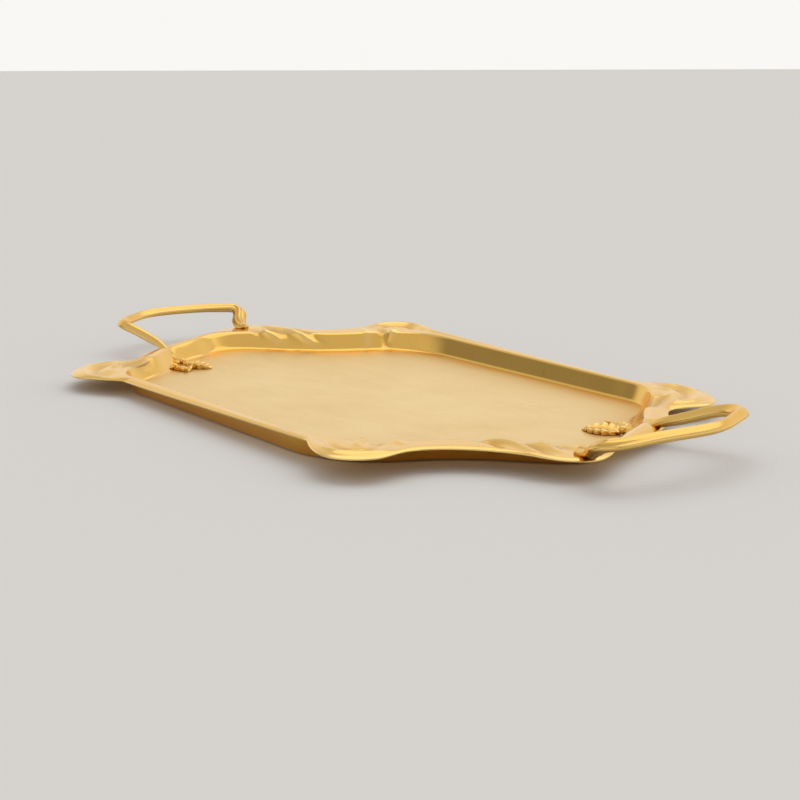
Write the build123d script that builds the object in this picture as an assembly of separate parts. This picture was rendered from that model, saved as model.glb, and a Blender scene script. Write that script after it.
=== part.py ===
from build123d import *
import math
import os

# Brass serving tray in millimetres, +Z up, standing on Z = 0.
# The origin is the middle of the underside; X runs from handle to handle and Y across the tray.
# The tray looks the same after half a turn about Z, so one half of every outline is drawn.

# Driving dimensions: pan
body_length = 441.0         # rim to rim, without the handles
side_width = 234.8          # between the two straight sides
rim_height = 11.5           # upper face of the flange above the table
sheet = 1.0                 # thickness of the pressed sheet
flange_width = 6.4          # flat flange along the two straight sides
wall_run = 3.4              # how far the wall leans in on its way down
foot_run = 2.6              # bevelled foot that turns the wall into the floor
foot_rise = 1.4

# Driving dimensions: handles
handle_reach = 28.0         # how far a handle stands out beyond the rim
bar_width = 7.6             # oval section of the handle, seen from above
bar_thick = 5.2             # and seen from the side
bar_rise = 11.6             # middle of the bar above the rim
stem_width = 4.4            # thinner stem that runs down the wall
stem_thick = 3.4
stand_off = 0.15            # gap between the casting and the sheet it crosses
foot_length = 14.0          # blunt foot that lies on the flange
foot_width = 9.0
foot_thick = 5.2

# Driving dimensions: leaf spray at the end of the stem
spray_length = 24.0
spray_width = 13.0
spray_thick = 2.2
spray_gap = 5.0             # bare stem between the foot of the wall and the spray
berry_radius = 2.3
berry_count = 5

# Driving dimensions: rivets
rivet_radius = 1.5
rivet_fit = 0.05            # radial clearance of a shank in its hole
rivet_depth = 2.6           # how far a shank goes into the casting
rim_head_radius = 3.0
rim_head_thick = 1.2
sink_radius = 2.6           # countersunk head, flush with the underside

half_length = body_length / 2
half_width = side_width / 2
rim_under = rim_height - sheet

# One end of the rim, as shares of the half length and half width, from the end of the near
# straight side round to the far one
rim_end = [
    (0.576, -1.000),        # notch where the near side ends
    (0.655, -1.058),        # short lobe
    (0.735, -1.055),
    (0.787, -0.925),
    (0.757, -0.725),        # neck beside the lobe
    (0.785, -0.555),
    (0.880, -0.415),
    (0.980, -0.345),        # shoulder that carries the handle's foot
    (1.000, -0.240),
    (0.978, -0.130),
    (0.929, 0.010),         # crown of the end
    (0.862, 0.220),
    (0.800, 0.422),         # beside the stem
    (0.715, 0.605),
    (0.642, 0.745),         # neck beside the long lobe
    (0.652, 0.890),
    (0.595, 1.060),         # tip of the long lobe
    (0.470, 1.130),
    (0.354, 1.000),         # notch where the far side begins
]
shoulder_index = 8
crossing_index = 12         # where the stem crosses the rim
stem_index = 9              # the same for the well's mouth

# One end of the well's mouth in the same shares. It cuts across the lobes and the shoulder,
# which stay wide and flat. Its two sides lie flange_width inside the rim.
well_side = 1 - flange_width / half_width
well_end = [
    (0.430, -well_side),
    (0.512, -0.915),
    (0.566, -0.800),
    (0.640, -0.540),
    (0.725, -0.345),
    (0.815, -0.170),
    (0.878, 0.000),
    (0.860, 0.125),
    (0.822, 0.265),
    (0.752, 0.430),         # beside the stem
    (0.620, 0.610),
    (0.545, 0.790),
    (0.465, 0.905),
    (0.380, well_side),
]


def end_point(outline, index):
    """A point of a whole outline; its second half is the first one after half a turn."""
    count = len(outline)
    x, y = outline[index % count]
    turn = -1 if (index // count) % 2 else 1
    return Vector(turn * x * half_length, turn * y * half_width)


def inset_point(outline, index, inset):
    """An outline point moved inwards, square to the line through its two neighbours."""
    along = (end_point(outline, index + 1) - end_point(outline, index - 1)).normalized()
    if index % len(outline) in (0, len(outline) - 1):
        along = Vector(-1 if index // len(outline) % 2 else 1, 0)
        along *= 1 if index % len(outline) == 0 else -1
    return end_point(outline, index) + Vector(-along.Y, along.X) * inset


def ring(outline, inset, height):
    """A closed outline at an inset and a height: two curved ends and two straight sides."""
    count = len(outline)
    points = [inset_point(outline, i, inset) for i in range(2 * count)]
    near_end = Spline(*points[:count])
    far_end = Spline(*points[count:])
    sides = [Line(near_end @ 1, far_end @ 0), Line(far_end @ 1, near_end @ 0)]
    return Pos(0, 0, height) * make_face([near_end, sides[0], far_end, sides[1]])


def well_body(gap, low, high):
    """The well as a solid: its wall leans in to a bevelled foot; gap moves it all inwards."""
    mouth = ring(well_end, gap, high)
    knee = ring(well_end, gap + wall_run, low + foot_rise)
    foot = ring(well_end, gap + wall_run + foot_run, low)
    return loft([foot, knee], ruled=True) + loft([knee, mouth], ruled=True)


def half_turn(shape):
    return Rot(0, 0, 180) * shape


# Places of the right-hand handle, all found from the rim
shoulder = end_point(rim_end, shoulder_index)
crossing = end_point(rim_end, crossing_index)
foot_turn = -24.0                                   # heading of the blunt foot, degrees from +X
foot_centre = shoulder + Vector(-foot_length * 0.7, 2.0)
foot_along = Vector(math.cos(math.radians(foot_turn)), math.sin(math.radians(foot_turn)))
bar_low = rim_height + stand_off + bar_thick / 2    # middle of the bar where it crosses the rim
bar_high = rim_height + bar_rise
bar_x = half_length + handle_reach - bar_width / 2

# The stem runs along -X from the rim. The wall slants across it, so the stem's two sides meet
# the wall at different places, a skew apart.
wall_along = (end_point(well_end, stem_index + 1) - end_point(well_end, stem_index - 1)).normalized()
wall_inward = Vector(-wall_along.Y, wall_along.X)
mouth_reach = (end_point(well_end, stem_index) - crossing).dot(wall_inward)
stem_skew = stem_width / 2 * abs(wall_along.X / wall_along.Y)
flange_reach = (mouth_reach + sheet) / wall_along.Y + stem_skew
floor_reach = flange_reach + (wall_run + foot_run) / wall_along.Y
stem_high = rim_height + stand_off + stem_thick / 2
stem_low = sheet + stand_off + stem_thick / 2
spray_centre = crossing - Vector(floor_reach + spray_gap + spray_length / 2, 2.0)


def swept(points, radii, width, thick):
    """An oval bar along straight runs joined by arcs, its width kept level."""
    path = FilletPolyline(*points, radius=radii)
    heading = path % 0
    level = Vector(0, 0, 1).cross(heading)
    section = Plane(origin=path @ 0, x_dir=level, z_dir=heading) * Ellipse(width / 2, thick / 2)
    return sweep(section, path=path)


def bar():
    """The loop outside the rim, from the foot out, round and back to the rim."""
    points = [
        Vector(foot_centre.X, foot_centre.Y, rim_height + foot_thick / 2),
        Vector(shoulder.X + 2.0, shoulder.Y - 3.5, bar_low + 0.6),
        Vector(bar_x - 3.5, shoulder.Y - 11.0, bar_high - 2.2),
        Vector(bar_x, shoulder.Y + 12.0, bar_high - 0.4),
        Vector(bar_x, crossing.Y - 30.0, bar_high),
        Vector(bar_x - 9.0, crossing.Y - 11.0, bar_high - 0.4),
        Vector(bar_x - 33.0, crossing.Y + 14.5, bar_high - 1.6),
        Vector(crossing.X + 3.0, crossing.Y + 1.0, bar_low + 0.4),
        Vector(crossing.X - 6.0, crossing.Y, bar_low),
    ]
    return swept(points, [8.0, 6.5, 20.0, 25.0, 25.0, 12.0, 8.0], bar_width, bar_thick)


def stem():
    """The thin stem: level on the flange, down the wall and out along the floor."""
    top_x = crossing.X - flange_reach - stem_thick * 0.75
    low_x = crossing.X - floor_reach - stem_thick * 0.4
    points = [
        Vector(crossing.X - 4.0, crossing.Y, bar_low),
        Vector(crossing.X - 8.0, crossing.Y, stem_high),
        Vector(top_x, crossing.Y, stem_high),
        Vector(low_x, crossing.Y, stem_low),
        Vector(spray_centre.X + spray_length / 4, spray_centre.Y, stem_low),
    ]
    return swept(points, [3.0, 2.5, 4.0], stem_width, stem_thick)


def foot():
    """The blunt foot that lies flat on the flange."""
    outline = Rot(0, 0, foot_turn) * SlotOverall(foot_length, foot_width)
    block = Pos(foot_centre.X, foot_centre.Y, rim_height) * extrude(outline, foot_thick)
    return fillet(block.edges().group_by(Axis.Z)[-1], foot_thick * 0.35)


def leaf(length, width, turn):
    """A flat pointed leaf between two arcs, lying on the floor."""
    half = length / 2
    upper = ThreePointArc((-half, 0), (0, width / 2), (half, 0))
    lower = ThreePointArc((half, 0), (0, -width / 2), (-half, 0))
    blade = extrude(make_face([upper, lower]), spray_thick)
    return Pos(spray_centre.X, spray_centre.Y, sheet) * (Rot(0, 0, turn) * blade)


def spray():
    """Three crossed leaves with a row of berries, flat underneath."""
    shape = leaf(spray_length, spray_width * 0.6, 0)
    for turn in (38, -38):
        shape += leaf(spray_length * 0.75, spray_width * 0.5, turn)
    step = spray_length * 0.7 / (berry_count - 1)
    for number in range(berry_count):
        x = spray_centre.X + (number - (berry_count - 1) / 2) * step
        y = spray_centre.Y + (berry_radius * 0.5 if number % 2 else -berry_radius * 0.5)
        shape += Pos(x, y, sheet + spray_thick) * Sphere(berry_radius)
    slab = Pos(spray_centre.X, spray_centre.Y, sheet) * Box(
        4 * spray_length, 4 * spray_width, 4 * spray_thick, align=(Align.CENTER, Align.CENTER, Align.MAX)
    )
    return shape - slab


def shank(centre, low, high, radius):
    """A straight pin between two heights."""
    pin = Cylinder(radius, high - low, align=(Align.CENTER, Align.CENTER, Align.MIN))
    return Pos(centre.X, centre.Y, low) * pin


def sink(centre, grow):
    """The countersunk head in the floor, grown by a clearance for its seat."""
    head = Cone(sink_radius + grow, rivet_radius + grow, sheet, align=(Align.CENTER, Align.CENTER, Align.MIN))
    return Pos(centre.X, centre.Y, 0) * head


def handle_casting():
    casting = bar() + stem() + foot() + spray()
    hole = rivet_radius + rivet_fit
    casting -= shank(foot_centre, rim_height, rim_height + rivet_depth + rivet_fit, hole)
    casting -= shank(spray_centre, sheet, sheet + rivet_depth + rivet_fit, hole)
    return casting


def foot_rivet():
    head = shank(foot_centre, rim_under - rim_head_thick, rim_under, rim_head_radius)
    rim_edges = head.edges().group_by(Axis.Z)[0]
    return fillet(rim_edges, rim_head_thick * 0.6) + shank(
        foot_centre, rim_under, rim_height + rivet_depth, rivet_radius
    )


def spray_rivet():
    return sink(spray_centre, 0) + shank(spray_centre, sheet, sheet + rivet_depth, rivet_radius)


def tray_pan():
    """Flange plate and well pressed from one sheet, with a hole for each rivet."""
    flange = extrude(ring(rim_end, 0, rim_under), sheet)
    pan = flange + well_body(0, 0, rim_under + sheet / 2)
    pan -= well_body(sheet, sheet, rim_height + sheet)
    for turn in (False, True):
        for hole in (
            shank(foot_centre, rim_under - sheet, rim_height + sheet, rivet_radius + rivet_fit),
            sink(spray_centre, rivet_fit),
        ):
            pan -= half_turn(hole) if turn else hole
    return pan


parts = {"tray_pan": tray_pan()}
for name, shape in (("handle", handle_casting()), ("foot_rivet", foot_rivet()), ("spray_rivet", spray_rivet())):
    parts["right_" + name] = shape
    parts["left_" + name] = half_turn(shape)

os.makedirs("parts", exist_ok=True)
for name, shape in parts.items():
    export_step(shape, f"parts/{name}.step")
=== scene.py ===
import math
import bmesh
import bpy
import numpy as np
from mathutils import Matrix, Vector


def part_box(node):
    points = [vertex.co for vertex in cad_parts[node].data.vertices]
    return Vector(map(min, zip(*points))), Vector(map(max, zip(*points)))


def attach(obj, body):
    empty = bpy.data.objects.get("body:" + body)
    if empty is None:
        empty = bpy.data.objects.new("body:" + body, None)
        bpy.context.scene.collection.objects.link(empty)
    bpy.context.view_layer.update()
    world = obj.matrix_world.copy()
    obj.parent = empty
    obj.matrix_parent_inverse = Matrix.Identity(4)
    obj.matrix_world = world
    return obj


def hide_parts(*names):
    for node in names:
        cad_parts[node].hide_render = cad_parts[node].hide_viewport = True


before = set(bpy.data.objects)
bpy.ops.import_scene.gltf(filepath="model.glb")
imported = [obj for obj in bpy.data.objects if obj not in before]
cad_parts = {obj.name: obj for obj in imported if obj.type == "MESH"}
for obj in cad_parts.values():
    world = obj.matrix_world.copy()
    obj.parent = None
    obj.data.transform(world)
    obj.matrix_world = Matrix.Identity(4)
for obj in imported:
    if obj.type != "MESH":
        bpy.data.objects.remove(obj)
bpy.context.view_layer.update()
mm = 0.001
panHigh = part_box("tray_pan")[1]
print("frame loaded")


# Natural cubic through the points: its parameter is the running chord length, its slope and
# curvature are continuous, and share 0 is the first point and 1 the last.
def curveThrough(points, shares):
    points = np.asarray(points, float)
    chord = np.linalg.norm(np.diff(points[:, :2], axis=0), axis=1)
    knots = np.concatenate([[0], np.cumsum(chord)])
    count = len(knots)
    inner = np.arange(1, count - 1)
    system = np.zeros((count, count))
    system[0, 0] = system[-1, -1] = 1
    system[inner, inner - 1] = chord[:-1]
    system[inner, inner] = 2 * (chord[:-1] + chord[1:])
    system[inner, inner + 1] = chord[1:]
    slopes = np.diff(points, axis=0) / chord[:, None]
    right = np.zeros_like(points)
    right[1:-1] = 6 * np.diff(slopes, axis=0)
    bend = np.linalg.solve(system, right)
    at = np.asarray(shares, float) * knots[-1]
    piece = np.clip(np.searchsorted(knots, at, side="right") - 1, 0, count - 2)
    step = chord[piece][:, None]
    after = (at - knots[piece])[:, None] / step
    before = 1 - after
    curve = (before ** 3 - before) * bend[piece] + (after ** 3 - after) * bend[piece + 1]
    return before * points[piece] + after * points[piece + 1] + curve * step ** 2 / 6


# Eases from 0 at low to 1 at high: 3t squared minus 2t cubed.
def ease(value, low, high):
    t = np.clip((value - low) / (high - low), 0, 1)
    return t * t * (3 - 2 * t)


# Bell: e to the power of minus (value over width) squared.
def bell(value, width):
    return np.exp(-((value / width) ** 2))


# Each vector divided by its length.
def unit(vectors):
    return vectors / np.maximum(np.linalg.norm(vectors, axis=-1, keepdims=True), 1e-12)


# The inward side of a closed ring in plan: its direction turned a quarter turn to the left.
# The direction at a point joins the points that many steps behind and ahead.
def inwardOf(ring, steps):
    along = np.roll(ring, -steps, axis=0) - np.roll(ring, steps, axis=0)
    return unit(np.stack([-along[:, 1], along[:, 0]], axis=1))


# Normals of a grid whose columns close round: the cross product of the two grid directions,
# turned upwards.
def upNormals(grid):
    down = np.gradient(grid, axis=0)
    along = np.roll(grid, -1, axis=1) - np.roll(grid, 1, axis=1)
    normals = unit(np.cross(along, down))
    return normals * np.sign(normals[..., 2:3] + 1e-9)


# Angles once round, without the last one, which would repeat the first.
def fullTurn(count):
    return np.linspace(0, 2 * math.pi, count, endpoint=False)[None]


# A mesh from rows of points that close round, with a single point at each end of the rows.
# Every quad joins a point to its right, lower right and lower neighbours. A mask is a number
# for each point, which the materials read.
def closedPiece(name, rows, firstPole, lastPole, masks=()):
    height, width, _ = rows.shape
    points = np.concatenate([rows.reshape(-1, 3), [firstPole, lastPole]])
    index = np.arange(height * width).reshape(height, width)
    nextOver = np.roll(index, -1, axis=1)
    corners = [index[:-1], nextOver[:-1], nextOver[1:], index[1:]]
    quads = np.stack(corners, axis=-1).reshape(-1, 4)
    first, last = height * width, height * width + 1
    firstFan = np.stack([np.full(width, first), nextOver[0], index[0]], axis=-1)
    lastFan = np.stack([np.full(width, last), index[-1], nextOver[-1]], axis=-1)
    faces = quads.tolist() + firstFan.tolist() + lastFan.tolist()
    mesh = bpy.data.meshes.new(name)
    mesh.from_pydata(points.tolist(), [], faces)
    for maskName, values in dict(masks).items():
        attribute = mesh.attributes.new(maskName, "FLOAT", "POINT")
        flat = np.concatenate([values.reshape(-1), [values[0].mean(), values[-1].mean()]])
        attribute.data.foreach_set("value", flat.astype(np.float32))
    return finishMesh(name, mesh)


# Doubles merged, normals turned outwards, shaded smooth.
def finishMesh(name, mesh):
    work = bmesh.new()
    work.from_mesh(mesh)
    bmesh.ops.remove_doubles(work, verts=work.verts, dist=1e-6)
    bmesh.ops.recalc_face_normals(work, faces=work.faces)
    work.to_mesh(mesh)
    work.free()
    mesh.polygons.foreach_set("use_smooth", np.ones(len(mesh.polygons), bool))
    mesh.update()
    piece = bpy.data.objects.new(name, mesh)
    bpy.context.collection.objects.link(piece)
    return piece


# Gives a piece its material, hangs it under the root body and hides the node of the frame that it
# replaces.
def place(piece, node, material):
    piece.data.materials.clear()
    piece.data.materials.append(material)
    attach(piece, "root")
    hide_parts(node)


# A socket that can be used in a Python sum: each operator adds the Math node it stands for.
class Value:
    def __init__(self, tree, socket):
        self.tree = tree
        self.socket = socket

    # The Math node of one operation on this socket and another socket or number.
    def math(self, operation, other=None, swapped=False):
        made = self.tree.nodes.new("ShaderNodeMath")
        made.operation = operation
        pair = [self, other] if not swapped else [other, self]
        for slotIndex, item in enumerate(pair):
            if isinstance(item, Value):
                self.tree.links.new(item.socket, made.inputs[slotIndex])
            elif item is not None:
                made.inputs[slotIndex].default_value = item
        return Value(self.tree, made.outputs[0])

    def __add__(self, other): return self.math("ADD", other)
    def __radd__(self, other): return self.math("ADD", other, True)
    def __sub__(self, other): return self.math("SUBTRACT", other)
    def __rsub__(self, other): return self.math("SUBTRACT", other, True)
    def __mul__(self, other): return self.math("MULTIPLY", other)
    def __rmul__(self, other): return self.math("MULTIPLY", other, True)
    def atLeast(self, low): return self.math("MAXIMUM", low)
    def clamped(self): return self.atLeast(0.0).math("MINIMUM", 1.0)


# A material and the few ways in which its nodes are made.
class Finish:
    def __init__(self, name):
        self.material = bpy.data.materials.new(name)
        self.material.use_nodes = True
        self.tree = self.material.node_tree
        self.shader = self.tree.nodes["Principled BSDF"]
        self.place = self.node("ShaderNodeTexCoord", {}, {}, "Object")

    # Any node: its type, its settings, then the values or links of its sockets.
    def node(self, kind, settings, sockets, output=0):
        made = self.tree.nodes.new(kind)
        for setting, value in settings.items():
            setattr(made, setting, value)
        self.fill(made, sockets)
        return Value(self.tree, made.outputs[output])

    # Links a socket to each Value and sets it to anything else.
    def fill(self, made, sockets):
        for socket, value in sockets.items():
            if isinstance(value, Value):
                self.tree.links.new(value.socket, made.inputs[socket])
            else:
                made.inputs[socket].default_value = value

    # Noise in object space. Scale is cycles in a metre; stretch multiplies it along each axis
    # after a turn about the vertical.
    def noise(self, scale, detail, roughness=0.5, stretch=(1, 1, 1), turn=0.0, distortion=0.0):
        mapped = self.node("ShaderNodeMapping", {}, {
            "Vector": self.place, "Rotation": (0, 0, turn), "Scale": stretch,
        })
        return self.node("ShaderNodeTexNoise", {}, {
            "Vector": mapped, "Scale": scale, "Detail": detail,
            "Roughness": roughness, "Distortion": distortion,
        })

    # A mask that was stored with the mesh.
    def mask(self, name):
        return self.node("ShaderNodeAttribute", {"attribute_name": name}, {}, "Fac")

    # The first colour where the factor is 0 and the second where it is 1.
    def blend(self, factor, first, second):
        colours = [c if isinstance(c, Value) else (*c, 1) for c in (first, second)]
        sockets = {0: factor, 6: colours[0], 7: colours[1]}
        return self.node("ShaderNodeMix", {"data_type": "RGBA"}, sockets, 2)

    # Bare metal: colour, roughness, bump of a depth in metres, and the colour seen edge on.
    def surface(self, colour, roughness, height, depth, edgeOn=(1, 1, 1)):
        bump = self.node("ShaderNodeBump", {}, {"Height": height, "Distance": depth})
        self.fill(self.shader, {
            "Metallic": 1.0, "Base Color": colour, "Roughness": roughness,
            "Normal": bump, "Specular Tint": (*edgeOn, 1),
        })
        return self.material


brass = {
    "polished": (0.86, 0.52, 0.125),    # wall, rim and castings
    "deep": (0.42, 0.24, 0.055),        # tarnish in hollows
    "edge": (0.94, 0.71, 0.33),         # rubbed edges, and painted highlights on the sprays
    "edgeShare": 0.6,
    "leastRoughness": 0.08,
}

sheetLook = {
    "satin": (0.91, 0.71, 0.40),        # brushed floor
    "cloud": (0.66, 0.46, 0.18),        # duller patches of the floor
    "cloudShare": 0.65,
    "edgeOn": (1.0, 0.94, 0.80),        # sheet seen edge on
    "satinRoughness": 0.42,
    "polishedRoughness": 0.17,
    "lineRoughness": 0.20,              # how far the roughness varies with each pattern
    "cloudRoughness": 0.24,
    "hollowRoughness": 0.15,
    "tarnishAndShadeShare": 0.30,                # tarnish of a full hollow, then more in the clouds
    "tarnishAndShadeCloud": 0.5,
    "pitShare": 0.30,
    "pitLevel": 0.70,                   # noise above this is a pit
    "pitSharpness": 9,
    "bumpDepth": 0.00004,               # metres
    "lineHeight": 0.6,                  # shares of the bump's depth
    "crossHeight": 0.35,
    "polishedLines": 0.25,              # what is left of the lines where it is polished
    "grainHeight": 0.12,
    "smudgeHeight": 0.3,
    "clouds": {"scale": 16, "detail": 4, "roughness": 0.55, "distortion": 0.6},
    "smudges": {"scale": 55, "detail": 3, "roughness": 0.6, "stretch": (0.5, 1.4, 1), "turn": 0.5},
    "lines": {"scale": 260, "detail": 3, "roughness": 0.6, "stretch": (0.06, 2.2, 1), "turn": 0.12},
    "cross": {"scale": 330, "detail": 2, "roughness": 0.6, "stretch": (0.05, 2.4, 1), "turn": -0.5},
    "grain": {"scale": 1900, "detail": 2},
    "spots": {"scale": 420, "detail": 1},
}


# Sheet brass: brushed hairlines and clouds on the floor, polished wall and rim, dark hollows.
def sheetBrass():
    look = Finish("sheetBrass")
    polish, tarnishAndShade, wearAndSheen = (look.mask(name) for name in ("polish", "tarnishAndShade", "wearAndSheen"))
    clouds, smudges, lines, cross, grain, spots = (
        look.noise(**sheetLook[name])
        for name in ("clouds", "smudges", "lines", "cross", "grain", "spots")
    )
    satin = 1 - polish
    patchy = ((clouds - 0.5) * 0.9 + (smudges - 0.5) * 0.5 + 0.5).clamped()
    pits = ((spots - sheetLook["pitLevel"]) * sheetLook["pitSharpness"]).clamped()
    cloudy = (patchy * sheetLook["cloudShare"] * satin).clamped()
    tarnishAndShadeMix = (tarnishAndShade * (sheetLook["tarnishAndShadeShare"] + clouds * sheetLook["tarnishAndShadeCloud"])).clamped()
    base = look.blend(polish, sheetLook["satin"], brass["polished"])
    base = look.blend(cloudy, base, sheetLook["cloud"])
    base = look.blend((pits * sheetLook["pitShare"]).clamped(), base, brass["deep"])
    base = look.blend(tarnishAndShadeMix, base, brass["deep"])
    base = look.blend((wearAndSheen * brass["edgeShare"]).clamped(), base, brass["edge"])
    rough = satin * sheetLook["satinRoughness"] + polish * sheetLook["polishedRoughness"]
    rough = rough + (lines - 0.5) * sheetLook["lineRoughness"] * satin
    rough = rough + (patchy - 0.5) * sheetLook["cloudRoughness"]
    rough = rough + tarnishAndShade * sheetLook["hollowRoughness"]
    brushed = lines * sheetLook["lineHeight"] + cross * sheetLook["crossHeight"]
    left = sheetLook["polishedLines"]
    height = brushed * (left + satin * (1 - left)) + grain * sheetLook["grainHeight"]
    height = height + smudges * sheetLook["smudgeHeight"]
    rough = rough.atLeast(brass["leastRoughness"])
    return look.surface(base, rough, height, sheetLook["bumpDepth"], sheetLook["edgeOn"])


castLook = {
    "cloud": (0.68, 0.44, 0.14),        # duller patches
    "cloudShare": 0.35,
    "deep": (0.26, 0.15, 0.035),        # painted shade on the underside, tarnish in the creases
    "edgeOn": (1.0, 0.86, 0.62),        # castings seen edge on
    "roughness": 0.16,
    "cloudRoughness": 0.12,             # how far the roughness varies with each pattern
    "hollowRoughness": 0.2,
    "markRoughness": 0.08,
    "tarnishAndShadeShare": 0.75,                # darkening of a full mask: tarnish in creases, painted shade underneath; then more in the clouds
    "tarnishAndShadeCloud": 0.4,
    "bumpDepth": 0.00006,               # metres
    "grainHeight": 0.4,                 # shares of the bump's depth
    "markHeight": 0.3,
    "cloudHeight": 0.8,
    "clouds": {"scale": 60, "detail": 3, "roughness": 0.55},
    "marks": {"scale": 700, "detail": 2, "roughness": 0.6, "stretch": (1, 0.25, 1), "turn": 0.4},
    "grain": {"scale": 1500, "detail": 2},
}


# Cast brass: bright high spots (rubbed on the handles, painted highlights on the sprays), darker
# creases from tarnish, painted shade on undersides, faint file marks and casting grain.
def castBrass():
    look = Finish("castBrass")
    tarnishAndShade, wearAndSheen = look.mask("tarnishAndShade"), look.mask("wearAndSheen")
    clouds, marks, grain = (look.noise(**castLook[name]) for name in ("clouds", "marks", "grain"))
    cloudy = (clouds * castLook["cloudShare"]).clamped()
    tarnishAndShadeMix = (tarnishAndShade * (castLook["tarnishAndShadeShare"] + clouds * castLook["tarnishAndShadeCloud"])).clamped()
    base = look.blend(cloudy, brass["polished"], castLook["cloud"])
    base = look.blend(tarnishAndShadeMix, base, castLook["deep"])
    base = look.blend((wearAndSheen * brass["edgeShare"]).clamped(), base, brass["edge"])
    rough = castLook["roughness"] + (clouds - 0.5) * castLook["cloudRoughness"]
    rough = rough + tarnishAndShade * castLook["hollowRoughness"]
    rough = rough + (marks - 0.5) * castLook["markRoughness"]
    height = grain * castLook["grainHeight"] + marks * castLook["markHeight"]
    height = height + clouds * castLook["cloudHeight"]
    rough = rough.atLeast(brass["leastRoughness"])
    return look.surface(base, rough, height, castLook["bumpDepth"], castLook["edgeOn"])


rivetLook = {
    "colour": (0.70, 0.48, 0.19),
    "roughness": 0.30,
    "cloudRoughness": 0.2,
    "bumpDepth": 0.00008,   # metres
    "flatHeight": 0.6,      # shares of the bump's depth
    "cloudHeight": 0.4,
    "flats": 900.0,         # hammered flats in a metre
    "clouds": {"scale": 300, "detail": 2},
}


# Hammered rivet brass: duller, with small flats.
def rivetBrass():
    look = Finish("rivetBrass")
    clouds = look.noise(**rivetLook["clouds"])
    flats = look.node("ShaderNodeTexVoronoi", {"feature": "F1"}, {
        "Vector": look.place, "Scale": rivetLook["flats"],
    })
    base = look.blend(clouds, rivetLook["colour"], brass["deep"])
    rough = rivetLook["roughness"] + (clouds - 0.5) * rivetLook["cloudRoughness"]
    height = flats * rivetLook["flatHeight"] + clouds * rivetLook["cloudHeight"]
    return look.surface(base, rough, height, rivetLook["bumpDepth"])


sheetFinish = sheetBrass()
castFinish = castBrass()
rivetFinish = rivetBrass()
print("materials made")


# Lengths are in mm from here on, and become metres only where a mesh is made.
lobeReach = 1.131   # widest point of the lobes, as a share of the half width
flangeAtSide = 6.4  # width of the flange along the straight sides
pan = {
    "halfLength": panHigh.x / mm,       # rim to the middle, along the tray
    "halfWidth": panHigh.y / mm / lobeReach,  # straight side to the middle
    "rim": panHigh.z / mm,              # upper face of the flange
    "sheet": 1.0,
    "mouthRound": 1.6,                  # roll from the flange into the wall
    "footRound": 2.2,                   # cove from the wall into the floor
    "lean": math.radians(73),           # wall, from level
    "lipWidth": 3.2,                    # edge that turns down
    "lipDrop": 0.8,
    "mouthShare": 0.45,                 # share of the edge's rise that reaches the mouth
    "crown": 0.25,                      # the floor rises a little in the middle
    "ripple": 0.05,                     # and is not quite flat
    "rippleLengths": (31, 23),
    "endSpread": 1.25,                  # at the ends the wall runs in further by this share
    "endSpreadFrom": 95,
    "endSpreadTo": 145,
    "endColumns": 260,
    "sideColumns": 80,
    "flangeRows": 30,
    "wallRows": (5, 5, 9),              # roll, straight wall, cove
    "floorRows": 9,
    "floorSpacing": 1.25,               # above 1 the rows lie closer together near the wall
    "edgeRows": 5,                      # round the cut edge of the sheet
}

# One end of the rim: shares of the half length and half width, then how far the edge stands
# above or below the flange, mm. It runs from the near straight side round to the far one.
rimEnd = [
    (0.576, -1.000, 2.0),   # notch
    (0.655, -1.058, 1.6),   # short lobe
    (0.735, -1.055, 1.2),
    (0.787, -0.925, 1.2),
    (0.757, -0.725, 0.8),   # neck
    (0.785, -0.555, 0.4),
    (0.880, -0.415, 0.2),
    (0.980, -0.325, 0.0),   # shoulder under the handle's foot
    (0.999, -0.215, -0.8),
    (0.980, -0.112, -0.8),
    (0.929, 0.010, -0.3),   # crown
    (0.862, 0.220, -1.2),
    (0.800, 0.422, -2.4),   # dips where the stem crosses
    (0.715, 0.605, -2.4),
    (0.642, 0.745, -2.2),   # neck
    (0.652, 0.890, -2.2),
    (0.592, 1.060, -2.5),   # long lobe droops
    (0.470, 1.130, -2.2),
    (0.354, 1.000, -1.6),   # notch
]

# One end of the well's mouth, in the same shares.
mouthSide = 1 - flangeAtSide / pan["halfWidth"]
mouthEnd = [
    (0.300, -mouthSide),    # still on the straight side
    (0.370, -mouthSide),
    (0.430, -mouthSide),
    (0.520, -0.930),
    (0.600, -0.880),        # short lobe
    (0.660, -0.770),
    (0.700, -0.580),        # neck
    (0.765, -0.390),
    (0.850, -0.235),        # inside the shoulder
    (0.895, -0.100),
    (0.893, 0.060),         # crown
    (0.832, 0.225),
    (0.768, 0.395),         # beside the stem
    (0.672, 0.565),
    (0.600, 0.680),         # neck
    (0.535, 0.805),
    (0.455, 0.905),         # long lobe
    (0.380, mouthSide),
    (0.310, mouthSide),     # on the straight side again
    (0.240, mouthSide),
]
mouthColumns = (1500, 500)  # the mouth is measured on a finer ring: an end, a side

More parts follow.
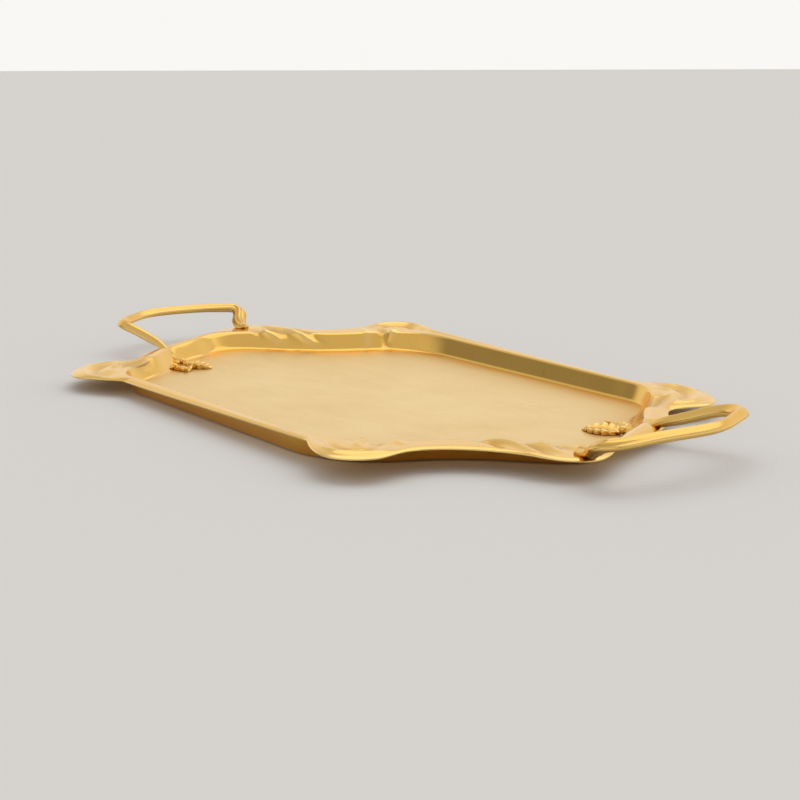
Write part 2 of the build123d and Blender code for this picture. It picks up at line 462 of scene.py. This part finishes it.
# Pressed relief on one end: plan points in mm, half width, height. A ridge is up, a groove down.
relief = [
    # pleats that run from the shoulder over the wall
    ([(207, -33), (198.5, -31.2), (189, -28.5), (182, -28), (176, -30.7), (170, -34)], 2.3, 1.5),
    ([(205, -38), (197, -36.3), (186, -35.5), (177, -35.5), (170.5, -38.5), (164, -41.5)],
     2.4, -1.5),
    ([(201, -43), (190, -41.2), (179, -40.5), (169, -42.1), (161, -46.1), (156, -50)], 2.5, 1.7),
    ([(184, -49), (174, -46.5), (164, -48.3), (158.5, -50.5), (154, -54)], 2.2, -1.1),
    ([(204, -24), (196, -23.8), (187, -23.9), (180, -27.8), (175, -33)], 2.0, -0.9),
    # scrolls on the short lobe, and the crease at its neck
    ([(132, -112), (144, -118), (157, -118), (165.5, -110.5), (167, -101), (162, -92)], 2.4, 1.5),
    ([(139, -110), (148, -112.5), (156, -110), (159, -103), (155, -97)], 2.2, -1.0),
    ([(152, -104), (145, -101), (139.5, -95), (137.5, -90.5), (134, -87)], 1.9, 1.6),
    ([(152, -94), (144, -90.5), (140, -89.6), (136, -89), (131, -84)], 2.6, -1.9),
    ([(158, -84), (150, -82), (144, -79), (139, -75)], 2.2, 0.9),
    # scrolls on the long lobe, and the leaf-shaped hollow at its neck
    ([(84, 121), (100, 127), (116, 123.5), (129, 114), (135, 103), (133.5, 94)], 2.6, 1.5),
    ([(92, 117), (105, 120), (117, 115.5), (125, 107), (127, 98)], 2.2, -1.0),
    ([(98, 112), (108, 113), (116, 108), (120, 100)], 2.0, 1.0),
    ([(117, 99), (121, 92.5), (126, 85.5), (132, 78), (136, 73)], 5.6, -2.6),
    ([(113, 108), (119, 103), (127, 99), (137, 95)], 2.4, 0.9),
    # the seat of the stem
    ([(181, 50.5), (172, 49.8), (163, 49), (156, 48.4)], 3.4, -0.8),
]
press = {
    "samples": 46,          # points along each line of relief
    "endFade": 0.7,         # lower than 1 keeps a line's height for longer
    "endMargin": 0.03,      # height left at the very ends, as a share of the half wave
    "floorFade": (0.4, 3.5),  # relief dies away between these heights above the floor
}

# Where the sheet is polished, tarnished and rubbed: rows counted from the rim's edge.
wear = {
    "polishEnds": (-3, 1),  # rows before and after the foot of the wall
    "coveTarnish": 0.45,
    "coveBefore": 2,
    "coveRows": 3.0,
    "hollowTarnish": 0.7,   # for each mm of depth
    "ridgeWear": 0.6,       # for each mm of height
    "mouthWear": 0.5,
    "mouthRows": 2.2,
    "rimWear": 0.9,
    "rimRows": 1.6,
}


# Both ends and both sides as one closed ring: an end is the curve through its points, a side
# is straight, and the second half is the first after half a turn.
def ringOf(end, endCount, sideCount):
    scale = np.array([pan["halfLength"], pan["halfWidth"], 1.0])[: len(end[0])]
    points = np.asarray(end, float) * scale
    half = curveThrough(points, np.linspace(0, 1, endCount))
    turn = np.array([-1.0, -1.0, 1.0])[: len(scale)]
    across = np.linspace(0, 1, sideCount + 2)[1:-1, None]
    side = half[-1] + (half[0] * turn - half[-1]) * across
    half = np.concatenate([half, side])
    return np.concatenate([half, half * turn])


# Wall profile: a round over the mouth, a straight lean and a cove, as distance in and height
# down. Round the mouth they are radius times sin a and radius times (1 - cos a).
def wallProfile(depth):
    lean = pan["lean"]
    rollRows, leanRows, coveRows = pan["wallRows"]
    over = np.linspace(0, lean, rollRows + 1)[1:]
    cove = np.linspace(lean, 0, coveRows + 1)[1:]
    top, foot = pan["mouthRound"], pan["footRound"]
    straight = (depth - (top + foot) * (1 - math.cos(lean))) / math.sin(lean)
    overIn, overDown = top * np.sin(over), top * (1 - np.cos(over))
    share = np.linspace(0, 1, leanRows + 1)[1:]
    leanIn = overIn[-1] + share * straight * math.cos(lean)
    leanDown = overDown[-1] + share * straight * math.sin(lean)
    coveIn = leanIn[-1] + foot * (math.sin(lean) - np.sin(cove))
    coveDown = leanDown[-1] + foot * (np.cos(cove) - math.cos(lean))
    inwards = np.concatenate([overIn, leanIn, coveIn])
    down = np.concatenate([overDown, leanDown, coveDown])
    return inwards, down


# The mouth beside each point of the edge, where the straight line from that point to the
# middle of the tray meets it, and the inward direction there.
def mouthBeside(edge):
    fine = ringOf(mouthEnd, *mouthColumns)
    fineIn = inwardOf(fine, 3)
    fineAngle = np.unwrap(np.arctan2(fine[:, 1], fine[:, 0]))
    fineReach = np.linalg.norm(fine, axis=1)
    angle = np.arctan2(edge[:, 1], edge[:, 0])
    order = np.argsort(fineAngle)
    reach, inX, inY = (
        np.interp(angle, fineAngle[order], values[order], period=2 * math.pi)
        for values in (fineReach, fineIn[:, 0], fineIn[:, 1])
    )
    mouth = reach[:, None] * np.stack([np.cos(angle), np.sin(angle)], axis=1)
    return mouth, unit(np.stack([inX, inY], axis=1))


# The upper face: rows from the rim's edge over the flange, down the wall and in to the floor.
# The flange eases from the edge's rise to the mouth's, less the lip's drop times the square
# of what is left of the lip's width. The floor is the crown times (1 - distance squared).
def upperFace():
    rim = ringOf(rimEnd, pan["endColumns"], pan["sideColumns"])
    edge = rim[:, :2] + inwardOf(rim, 1) * pan["sheet"] / 2
    mouth, mouthIn = mouthBeside(edge)
    spreadShare = ease(np.abs(mouth[:, 0]), pan["endSpreadFrom"], pan["endSpreadTo"])
    spread = 1 + pan["endSpread"] * spreadShare
    rise = rim[:, 2]
    mouthRise = rise * pan["mouthShare"]

    share = np.linspace(0, 1, pan["flangeRows"])[:, None, None]
    flat = edge + (mouth - edge) * share
    fromEdge = np.linalg.norm(flat - edge, axis=2)
    lift = rise + (mouthRise - rise) * ease(share[:, :, 0], 0, 1)
    lift = lift - pan["lipDrop"] * np.clip(1 - fromEdge / pan["lipWidth"], 0, 1) ** 2
    flange = np.dstack([flat, pan["rim"] + lift])

    inwards, down = wallProfile(pan["rim"] - pan["sheet"])
    wallFlat = mouth + mouthIn * inwards[:, None, None] * spread[:, None]
    fade = 1 - down[:, None] / down[-1]
    wall = np.dstack([wallFlat, pan["rim"] - down[:, None] + mouthRise * fade])

    shrink = np.linspace(0, 1, pan["floorRows"] + 1)[1:-1, None, None]
    floorFlat = wallFlat[-1] * (1 - shrink ** pan["floorSpacing"])
    distance = np.linalg.norm(floorFlat, axis=2) / pan["halfWidth"]
    longWave, crossWave = pan["rippleLengths"]
    waves = np.sin(floorFlat[..., 0] / longWave) * np.cos(floorFlat[..., 1] / crossWave)
    swell = pan["crown"] * np.clip(1 - distance ** 2, 0, 1)
    swell = swell + pan["ripple"] * (1 + waves) * shrink[:, :, 0]
    floor = np.dstack([floorFlat, pan["sheet"] + swell])
    return np.concatenate([flange, wall, floor])


# Relief: each line is laid on the surface, and a point rises by height times a bell of its
# distance from the line, fading at the line's two ends and near the floor.
def pressRelief(face):
    flat = face.reshape(-1, 3)
    raised = np.zeros(len(flat))
    margin = press["endMargin"]
    for points, width, height in relief:
        plan = curveThrough(points, np.linspace(0, 1, press["samples"]))
        for turn in (1, -1):
            near = ((flat[:, None, :2] - turn * plan[None]) ** 2).sum(2)
            line = np.column_stack([turn * plan, flat[near.argmin(0), 2]])
            gap = np.sqrt(((flat[:, None] - line[None]) ** 2).sum(2))
            along = gap.argmin(1) / (len(plan) - 1)
            halfWave = np.sin(np.pi * (along * (1 - 2 * margin) + margin))
            raised += height * halfWave ** press["endFade"] * bell(gap.min(1), width)
    fadeFrom, fadeTo = press["floorFade"]
    aboveFloor = ease(flat[:, 2] - pan["sheet"], fadeFrom, fadeTo)
    raised = (raised * aboveFloor).reshape(face.shape[:2])
    return face + upNormals(face) * raised[..., None], raised


# How polished, hollow and worn each point of the upper face is, from its row and its relief.
def sheetMasks(raised):
    rows = np.arange(len(raised))[:, None]
    foot = len(raised) - pan["floorRows"] + 1
    before, after = wear["polishEnds"]
    polish = 1 - ease(rows, foot + before, foot + after) * np.ones_like(raised)
    cove = bell(rows - foot + wear["coveBefore"], wear["coveRows"]) * wear["coveTarnish"]
    tarnishAndShade = np.clip(-raised * wear["hollowTarnish"], 0, 1) + cove
    atMouth = bell(rows - pan["flangeRows"], wear["mouthRows"]) * wear["mouthWear"]
    atRim = bell(rows, wear["rimRows"]) * wear["rimWear"]
    wearAndSheen = np.clip(np.clip(raised, 0, 1) * wear["ridgeWear"] + atMouth + atRim, 0, 1)
    return {"polish": polish, "tarnishAndShade": tarnishAndShade, "wearAndSheen": wearAndSheen}


# The whole pan is one closed skin: upper face, a rounded edge and the lower face, which is
# the upper one moved a sheet's thickness along its normals.
def makePan():
    upper, raised = pressRelief(upperFace())
    normals = upNormals(upper)
    lower = upper - normals * pan["sheet"]
    outward = unit(upper[0] - upper[1])
    middle = (upper[0] + lower[0]) / 2
    radius = pan["sheet"] / 2
    turns = np.linspace(math.pi / 2, -math.pi / 2, pan["edgeRows"] + 2)[1:-1, None, None]
    edge = middle + radius * (np.cos(turns) * outward + np.sin(turns) * normals[0])
    skin = np.concatenate([upper[::-1], edge, lower])
    masks = {}
    for name, mask in sheetMasks(raised).items():
        edgeMask = np.repeat(mask[:1], len(edge), axis=0)
        masks[name] = np.concatenate([mask[::-1], edgeMask, mask])
    top = np.array([0, 0, pan["sheet"] + pan["crown"] + pan["ripple"]])
    bottom = top - [0, 0, pan["sheet"]]
    return closedPiece("trayPan", skin * mm, top * mm, bottom * mm, masks)


place(makePan(), "tray_pan", sheetFinish)
print("pan pressed")


# Middle of a node's box in the frame, in mm.
def middleOf(node):
    return [sum(pair) / 2 / mm for pair in zip(*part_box(node))]


rightFoot = middleOf("right_foot_rivet")
rightSpray = middleOf("right_spray_rivet")
handle = {
    "rows": 300,
    "around": 48,
    "squareness": 1.38,     # 2 is an oval, 1 is a diamond
    "lowRidge": 0.18,       # the widest line sits this share of the thickness below the middle
    "flutes": 7,
    "fluteDepth": 0.10,
    "fluteFrom": 22,
    "fluteTo": 78,
    "fluteTwist": 0.07,     # radians in each mm
    "fluteTarnish": 0.6,
    # painted shade: the underside of the bar is darkened towards the deep colour
    "underShade": 0.75,
    "underFrom": 0.05,      # sine of the angle below the side where it begins
    "underTo": 0.6,
    "sideWear": 0.5,
    "topWear": 0.4,
    "footBlunt": 2.6,       # length over which the foot's blunt end rounds off
    "tailBlunt": 5.0,
    "leastSize": 0.02,      # what is left of the section at the two ends, squared
    "endBulge": 0.3,
    "cornerAt": (214.0, 60.0),  # where the two handles, bent by hand, differ the most
    "cornerReach": 26.0,
    # for each side: half turn or not, how far that corner is moved, share the loop sags
    "sides": {
        "right": (1, (0, 0, 0.3), 0.0),
        "left": (-1, (-2.7, -4.2, -0.4), 0.16),
    },
}

# Middle of the bar of the right handle: place in mm with the height counted from the rim,
# then width and thickness. Foot first, then out, round the grip, back and down the wall.
barPoints = [
    (rightFoot[0] - 3.0, rightFoot[1] + 2.4, 0.4, 9.2, 5.4),
    (rightFoot[0] + 5.5, rightFoot[1] + 0.3, 1.1, 9.4, 5.8),
    (226.0, -30.0, 4.1, 9.4, 6.0),
    (235.4, -34.6, 8.0, 9.0, 6.0),
    (240.6, -33.8, 9.5, 8.8, 6.0),
    (242.8, -28.4, 10.1, 8.6, 5.9),
    (244.0, -17.0, 10.8, 8.2, 5.7),
    (244.0, 4.0, 11.2, 8.0, 5.5),
    (240.8, 26.0, 11.1, 8.0, 5.5),
    (227.5, 49.0, 10.7, 8.0, 5.5),
    (219.5, 59.0, 10.5, 8.4, 6.0),
    (211.0, 62.2, 9.7, 8.4, 6.2),
    (201.0, 60.0, 7.7, 7.4, 5.8),
    (185.0, 53.0, 2.3, 6.8, 5.6),
    (173.5, 50.0, -1.3, 5.8, 4.6),
    (165.0, 48.6, -5.2, 4.8, 3.8),
    (158.0, 48.0, -7.7, 4.4, 3.2),
    (150.0, 47.4, -8.5, 4.0, 3.0),
]


# The line down the middle of a bar, with the width and thickness beside it. The part above
# the rim sags by its share, and the corner is moved by a bell of the distance from it.
def barPath(cornerMove, sag):
    path = curveThrough(barPoints, np.linspace(0, 1, handle["rows"]))
    middle, width, thick = path[:, :3].copy(), path[:, 3:4], path[:, 4:5]
    height = middle[:, 2]
    middle[:, 2] = np.where(height > 0, height * (1 - sag), height) + pan["rim"]
    fromCorner = np.linalg.norm(middle[:, :2] - np.array(handle["cornerAt"]), axis=1)
    middle += np.array(cornerMove) * bell(fromCorner, handle["cornerReach"])[:, None]
    return middle, width, thick


# Size of the section along the bar, which rounds off the two ends: the square root of 1 less
# a power of what is left of the blunt length.
def bluntSize(length):
    foot = 1 - np.clip(1 - length / handle["footBlunt"], 0, 1) ** 2.5
    tail = 1 - np.clip(1 - (length[-1] - length) / handle["tailBlunt"], 0, 1) ** 2
    return np.sqrt(np.clip(foot * tail, handle["leastSize"], 1))


# The bar is a rounded diamond carried along its path: at an angle a, its radius is
# (|cos a / half width|^k + |sin a / half thickness|^k) to the power -1/k, fluted near the foot.
def makeBar(name, turn, cornerMove, sag):
    middle, width, thick = barPath(cornerMove, sag)
    heading = unit(np.gradient(middle, axis=0))
    side = unit(np.cross([0, 0, 1.0], heading))
    up = np.cross(heading, side)
    steps = np.linalg.norm(np.diff(middle, axis=0), axis=1)
    length = np.concatenate([[0], np.cumsum(steps)])[:, None]
    size = bluntSize(length)
    angle = fullTurn(handle["around"])
    power, ridge = handle["squareness"], handle["lowRidge"]
    sine, cosine = np.sin(angle), np.cos(angle)
    across = np.abs(cosine) / (width / 2)
    upward = np.abs(sine) / (thick / 2 * (1 + ridge * np.sign(sine)))
    radius = (across ** power + upward ** power) ** (-1 / power)
    fluteFade = 1 - ease(length, handle["fluteFrom"], handle["fluteTo"])
    fluted = 0.5 - 0.5 * np.cos(angle * handle["flutes"] + length * handle["fluteTwist"])
    radius = radius * (1 - handle["fluteDepth"] * fluteFade * fluted) * size
    sideways = radius * cosine
    upwards = radius * sine - thick / 2 * ridge * size
    rows = middle[:, None] + side[:, None] * sideways[..., None] + up[:, None] * upwards[..., None]

    # Painted shade: the lower side of the bar darkens towards the deep colour; the flutes keep real
    # tarnish.
    under = ease(-sine, handle["underFrom"], handle["underTo"]) * handle["underShade"]
    tarnishAndShade = np.clip(fluteFade * fluted ** 3 * handle["fluteTarnish"] + under, 0, 1)
    sideWear = np.abs(cosine) ** 6 * handle["sideWear"]
    topWear = np.clip(sine, 0, 1) ** 8 * handle["topWear"]
    wearAndSheen = np.clip(sideWear + topWear, 0, 1) * (1 - tarnishAndShade)
    flip = np.array([turn, turn, 1.0]) * mm
    first = middle[0] - heading[0] * handle["endBulge"]
    last = middle[-1] + heading[-1] * handle["endBulge"]
    masks = {"tarnishAndShade": tarnishAndShade, "wearAndSheen": wearAndSheen}
    return closedPiece(name, rows * flip, first * flip, last * flip, masks)


spray = {
    "floor": pan["sheet"] + 0.15,
    # each leaf: root x, y from the spray's middle, heading in degrees, length, width, bend, rise
    "leaves": [
        (12.0, -1.0, 209, 21, 14.0, -1.5, 4.6),
        (10.5, 1.5, 160, 21, 12.0, 1.5, 4.0),
        (12.0, 3.5, 122, 14, 9.0, 1.0, 3.4),
    ],
    "leafGrid": (84, 56),       # points along and round a leaf
    # each bud: x, y from the spray's middle, radius
    "berries": [(13.6, -0.6, 2.2), (12.4, 3.2, 1.7), (-8.5, 7.5, 1.4)],
    "berryGrid": (20, 28),      # points from bottom to top and round
    "teeth": 5,
    "toothPower": 0.7,          # lower makes blunter teeth
    "toothDepth": 0.20,         # share of the half width
    "toothHeight": 0.34,        # share of the edge's height
    "outlinePower": 0.7,        # lower makes a fuller leaf
    "leastHalf": 0.05,          # half width at the root and the tip
    "sideSquare": 0.55,         # section: 1 is an oval, lower has fuller corners
    "topSquare": 0.4,
    "blade": 0.34,              # height of the middle as a share of the edge's
    "rootHeight": 0.4,          # height at the root as a share of the tallest
    "cup": 1.8,                 # higher keeps the middle flat for longer
    "tilt": 0.22,               # the far edge of a leaf stands higher than the near one
    "widest": 0.8,              # below 1 the widest place moves towards the root
    "tipFrom": 0.86,            # from here a leaf thins to its tip
    "tipThin": 0.6,
    "rib": 0.12,
    "ribWidth": 0.12,
    "vein": 0.05,
    "veinSlant": 0.8,
    "bladeTarnish": 0.15,
    "notchTarnish": 0.4,
    # painted highlight along the tops of the toothed edges
    "edgeShine": 1.3,
    "ribShine": 3,              # painted highlights on ribs and veins, which keep the tarnish beside them
    "dimple": 0.28,             # in the top of a berry, share of the radius
    "dimpleWidth": 0.35,        # radians
    "dimpleTarnish": 2.5,
    "berryLift": 1.15,          # middle above the floor, share of the radius
    "berryFlat": 0.95,
    "berryLobes": 5,
    "lobeDepth": 0.03,
    # painted shade under each berry, then a painted highlight on its top
    "underShade": 0.8,
    "underFades": (0.1, 0.9),   # radians below the widest line
    "topShine": 0.6,
    "topFades": (0.2, 0.9),     # radians above it
}


# A leaf is a closed section carried along a bent line. It is cupped: its edges stand up, cut
# into teeth, and its middle is hollow, with a fine rib down it and veins to each side. The
# outline is the sine of the share along it to a power, less the teeth.
def leafRows(root, heading, length, width, bend, rise, lowest):
    alongCount, roundCount = spray["leafGrid"]
    along = np.linspace(0.0, 1.0, alongCount)[:, None]
    angle = fullTurn(roundCount)
    tooth = np.abs(np.sin(np.pi * along * spray["teeth"])) ** spray["toothPower"]
    outline = np.sin(np.pi * along ** spray["widest"])
    notched = 1 - spray["toothDepth"] + spray["toothDepth"] * tooth
    half = width / 2 * outline ** spray["outlinePower"] * notched + spray["leastHalf"]
    across = np.sign(np.cos(angle)) * np.abs(np.cos(angle)) ** spray["sideSquare"]
    top = np.clip(np.sin(angle), 0, 1) ** spray["topSquare"]
    side = across * half
    edge = np.abs(across) ** spray["cup"]
    tip = 1 - ease(along, spray["tipFrom"], 1.0) * spray["tipThin"]
    lengthwise = (spray["rootHeight"] + (1 - spray["rootHeight"]) * outline) * tip
    rib = spray["rib"] * bell(across, spray["ribWidth"])
    slant = along * spray["teeth"] - np.abs(across) * spray["veinSlant"]
    veins = spray["vein"] * np.cos(2 * np.pi * slant) * np.abs(across)
    toothed = 1 - spray["toothHeight"] + spray["toothHeight"] * tooth
    cupped = spray["blade"] + (1 - spray["blade"]) * edge * toothed
    cupped = cupped * (1 - spray["tilt"] * across) + rib + veins
    height = lowest + rise * top * lengthwise * cupped
    forward = along * length + 0 * side
    sideways = side + bend * along ** 2
    turn = math.radians(heading)
    x = root[0] + forward * math.cos(turn) - sideways * math.sin(turn)
    y = root[1] + forward * math.sin(turn) + sideways * math.cos(turn)
    creases = (1 - edge) * spray["bladeTarnish"] + (1 - tooth) * spray["notchTarnish"] * edge
    tarnishAndShade = np.clip(creases - (rib + veins) * spray["ribShine"], 0, 1)
    # Painted highlight: the tops of the toothed edges, the rib and the veins are lightened towards
    # the edge colour.
    wearAndSheen = np.clip(top * edge * tooth * spray["edgeShine"] + rib * spray["ribShine"], 0, 1)
    return np.dstack([x, y, height]), tarnishAndShade, wearAndSheen


# A berry is a ball in latitude and longitude, a little lumpy and flattened, with a dimple at
# its top: the radius is 1 less a bell of the distance from the top.
def berryRows(centre, radius, lowest):
    riseCount, roundCount = spray["berryGrid"]
    rise = np.linspace(-0.5, 0.5, riseCount + 2)[1:-1, None] * math.pi
    angle = fullTurn(roundCount)
    dimple = spray["dimple"] * bell(rise - math.pi / 2, spray["dimpleWidth"])
    lobes = spray["lobeDepth"] * np.cos(spray["berryLobes"] * angle) * np.cos(rise)
    ball = radius * (1 - dimple + lobes)
    x = centre[0] + ball * np.cos(rise) * np.cos(angle)
    y = centre[1] + ball * np.cos(rise) * np.sin(angle)
    z = lowest + radius * spray["berryLift"] + ball * spray["berryFlat"] * np.sin(rise)
    z = np.maximum(z, lowest)
    # Painted shade on the lower half of the berry and a painted highlight on its top, carried by
    # the two masks.
    under = ease(-rise, *spray["underFades"]) * spray["underShade"]
    tarnishAndShade = np.clip(dimple * spray["dimpleTarnish"] + under, 0, 1)
    wearAndSheen = ease(rise, *spray["topFades"]) * (1 - dimple) * spray["topShine"]
    return np.dstack([x, y, z]), tarnishAndShade + 0 * angle, wearAndSheen + 0 * angle


# The spray joins its leaves and berries into one piece.
def makeSpray(name, turn):
    flip = np.array([turn, turn, 1.0]) * mm
    shapes = []
    for x, y, heading, length, width, bend, rise in spray["leaves"]:
        root = (rightSpray[0] + x, rightSpray[1] + y)
        shapes.append(leafRows(root, heading, length, width, bend, rise, spray["floor"]))
    for x, y, radius in spray["berries"]:
        centre = (rightSpray[0] + x, rightSpray[1] + y)
        shapes.append(berryRows(centre, radius, spray["floor"]))
    made = []
    for number, (rows, tarnishAndShade, wearAndSheen) in enumerate(shapes):
        rows = rows * flip
        masks = {"tarnishAndShade": tarnishAndShade, "wearAndSheen": wearAndSheen}
        made.append(closedPiece(f"{name}{number}", rows, rows[0].mean(0), rows[-1].mean(0), masks))
    with bpy.context.temp_override(active_object=made[0], selected_editable_objects=made):
        bpy.ops.object.join()
    made[0].name = made[0].data.name = name
    return made[0]


for sideName, (turn, cornerMove, sag) in handle["sides"].items():
    node = sideName + "_handle"
    place(makeBar(sideName + "Handle", turn, cornerMove, sag), node, castFinish)
    place(makeSpray(sideName + "LeafSpray", turn), node, castFinish)
print("handles and sprays cast")


rivet = {
    "around": 36,
    "headRadius": 3.0,
    "headRise": 1.2,
    "headFrom": 0.15,       # share of the quarter turn that the flat middle of the head takes
    "headRows": 9,
    "shank": 1.5,
    "sinkRadius": 2.6,      # the spray's rivets are sunk flush
    "sinkDepth": 1.0,
    "sinkFlat": 0.8,
    "shorter": 1.6,         # the foot's shank ends inside the bar
    "lumps": (0.02, 0.012),
}


# A rivet is a profile of radius and height turned round its axis; its head is slightly lumpy.
def makeRivet(name, node, profile):
    low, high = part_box(node)
    centre = (low + high) / 2 / mm
    profile = np.asarray(profile, float)
    angle = fullTurn(rivet["around"])
    wide, fine = rivet["lumps"]
    lumps = 1 + wide * np.cos(3 * angle + 1) + fine * np.cos(7 * angle)
    x = centre.x + profile[:, :1] * lumps * np.cos(angle)
    y = centre.y + profile[:, :1] * lumps * np.sin(angle)
    z = low.z / mm + profile[:, 1:2] + 0 * angle
    rows = np.dstack([x, y, z]) * mm
    piece = closedPiece(name, rows, rows[0].mean(0), rows[-1].mean(0))
    place(piece, node, rivetFinish)


# Height of a node's box in the frame, in mm.
def tallOf(node):
    low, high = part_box(node)
    return (high.z - low.z) / mm


# The domed rivet under a foot: sine and 1 - cosine of the angle over the dome, then its shank.
def footProfile(tall):
    dome = np.linspace(rivet["headFrom"], 1, rivet["headRows"]) * math.pi / 2
    head = [
        (rivet["headRadius"] * math.sin(a), rivet["headRise"] * (1 - math.cos(a))) for a in dome
    ]
    return head + [(rivet["shank"], rivet["headRise"]), (rivet["shank"], tall - rivet["shorter"])]


# The sunk rivet under a spray: a flat disc that narrows to its shank.
def sprayProfile(tall):
    return [
        (rivet["sinkFlat"], 0.0), (rivet["sinkRadius"], 0.0),
        (rivet["shank"], rivet["sinkDepth"]), (rivet["shank"], tall),
    ]


for sideName in handle["sides"]:
    node = sideName + "_foot_rivet"
    makeRivet(sideName + "FootRivet", node, footProfile(tallOf(node)))
    node = sideName + "_spray_rivet"
    makeRivet(sideName + "SprayRivet", node, sprayProfile(tallOf(node)))
print("rivets set")


studio = {
    "floor": (0.74, 0.725, 0.705),
    "floorHalf": 40.0,              # metres
    "sky": (1.0, 0.985, 0.96),
    "skyStrength": 0.95,
    "backHeading": (-0.35, 0.94),   # towards the bright wall
    "wallFades": (-0.10, 0.12),     # where it begins and is full, along that heading
    "viewerSide": 0.62,             # brightness behind the viewer
    "viewerFades": (-0.35, -0.75),
    "gap": 0.33,                    # and between the two
    "lowGap": (0.30, 0.60),         # the gap closes between these heights
    "ceilingDim": 0.27,
    "keyStrength": 0.65,
    "keyFrom": (-0.25, 0.45, 1.0),
    "keySoftness": math.radians(70),
}


# A plain pale floor without gloss.
def makeFloor():
    half = studio["floorHalf"]
    corners = [(-half, -half, 0), (half, -half, 0), (half, half, 0), (-half, half, 0)]
    mesh = bpy.data.meshes.new("studioFloor")
    mesh.from_pydata(corners, [], [(0, 1, 2, 3)])
    floor = bpy.data.objects.new("studioFloor", mesh)
    bpy.context.collection.objects.link(floor)
    look = bpy.data.materials.new("paleFloor")
    look.use_nodes = True
    shader = look.node_tree.nodes["Principled BSDF"]
    shader.inputs["Base Color"].default_value = (*studio["floor"], 1)
    shader.inputs["Roughness"].default_value = 1.0
    shader.inputs["Specular IOR Level"].default_value = 0.0
    mesh.materials.append(look)


# A ramp from 0 at low to 1 at high, held at both ends.
def ramp(value, low, high):
    return ((value - low) * (1 / (high - low))).clamped()


# A soft room: a bright wall behind the tray, a dimmer one behind the viewer, a dark gap low
# down between them and a dimmer ceiling, which polished brass needs to show its form.
def makeRoom():
    world = bpy.data.worlds.new("studioRoom")
    world.use_nodes = True
    bpy.context.scene.world = world
    tree = world.node_tree
    back = tree.nodes["Background"]
    direction = tree.nodes.new("ShaderNodeTexCoord")
    split = tree.nodes.new("ShaderNodeSeparateXYZ")
    tree.links.new(direction.outputs["Generated"], split.inputs[0])
    x, y, z = (Value(tree, split.outputs[i]) for i in range(3))
    behind = x * studio["backHeading"][0] + y * studio["backHeading"][1]
    wall = ramp(behind, *studio["wallFades"])
    viewer = ramp(behind, *studio["viewerFades"]) * studio["viewerSide"]
    sides = wall + (1 - wall) * (viewer + studio["gap"])
    lift = ramp(z, *studio["lowGap"])
    bright = (sides + (1 - sides) * lift) * (1 - lift * studio["ceilingDim"])
    mix = tree.nodes.new("ShaderNodeMix")
    mix.data_type = "RGBA"
    tree.links.new(bright.clamped().socket, mix.inputs[0])
    mix.inputs[6].default_value = (0, 0, 0, 1)
    mix.inputs[7].default_value = (*studio["sky"], 1)
    tree.links.new(mix.outputs[2], back.inputs["Color"])
    back.inputs["Strength"].default_value = studio["skyStrength"]


# One soft light from above and a little behind.
def makeLamp():
    lamp = bpy.data.lights.new("keyLamp", "SUN")
    lamp.energy = studio["keyStrength"]
    lamp.angle = studio["keySoftness"]
    holder = bpy.data.objects.new("keyLamp", lamp)
    towards = -Vector(studio["keyFrom"])
    holder.rotation_euler = towards.to_track_quat("-Z", "Y").to_euler()
    bpy.context.collection.objects.link(holder)


view = {
    "place": (822.3, -503.0, 168.0),    # mm from the middle of the rim's plane
    "heading": (-0.8471, 0.5315),
    "tilt": math.radians(10.6),         # downwards
    "lens": 81.0,
    "sensor": 36.0,
}


# The camera looks along its heading times the cosine of the tilt, and down by its sine.
def makeCamera():
    camera = bpy.data.cameras.new("camera")
    camera.lens = view["lens"]
    camera.sensor_width = view["sensor"]
    holder = bpy.data.objects.new("camera", camera)
    x, y, z = view["place"]
    holder.location = (x * mm, y * mm, (z + pan["rim"]) * mm)
    level, down = math.cos(view["tilt"]), math.sin(view["tilt"])
    sight = Vector((view["heading"][0] * level, view["heading"][1] * level, -down))
    holder.rotation_euler = sight.to_track_quat("-Z", "Y").to_euler()
    bpy.context.collection.objects.link(holder)
    bpy.context.scene.camera = holder


makeFloor()
makeRoom()
makeLamp()
makeCamera()
bpy.context.scene.view_settings.view_transform = "Standard"
print("studio set")
